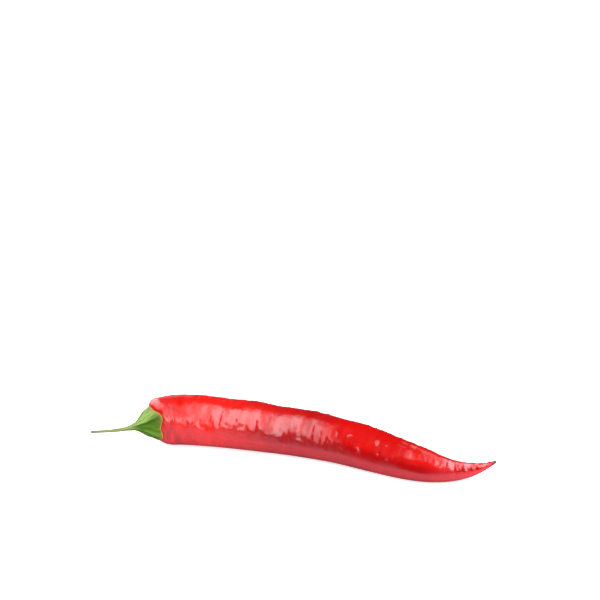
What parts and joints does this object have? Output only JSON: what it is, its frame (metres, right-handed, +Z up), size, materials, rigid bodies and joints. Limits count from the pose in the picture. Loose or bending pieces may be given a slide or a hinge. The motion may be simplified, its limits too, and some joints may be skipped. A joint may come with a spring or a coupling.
{
  "type": "chilli pepper",
  "caption": "Slender red chilli pepper lying on its belly: a glossy tapering pod with a gentle S curve and a hooked tip, and a green ribbed calyx with a thin stem.",
  "frame": {"origin": "middle of the chilli's footprint (the centre of its bounding box seen from above), on the surface that it lies on", "axes": "+X from the stalk's cut end towards the pod's tip, +Z up from the surface, +Y away from the side that the picture shows"},
  "size_m": [0.149, 0.043, 0.0189],
  "materials": {
    "pod_skin": "gloss",
    "stalk_green": "satin"
  },
  "bodies": {
    "root": {"pod": "pod_skin", "stalk": "stalk_green"}
  },
  "joints": []
}
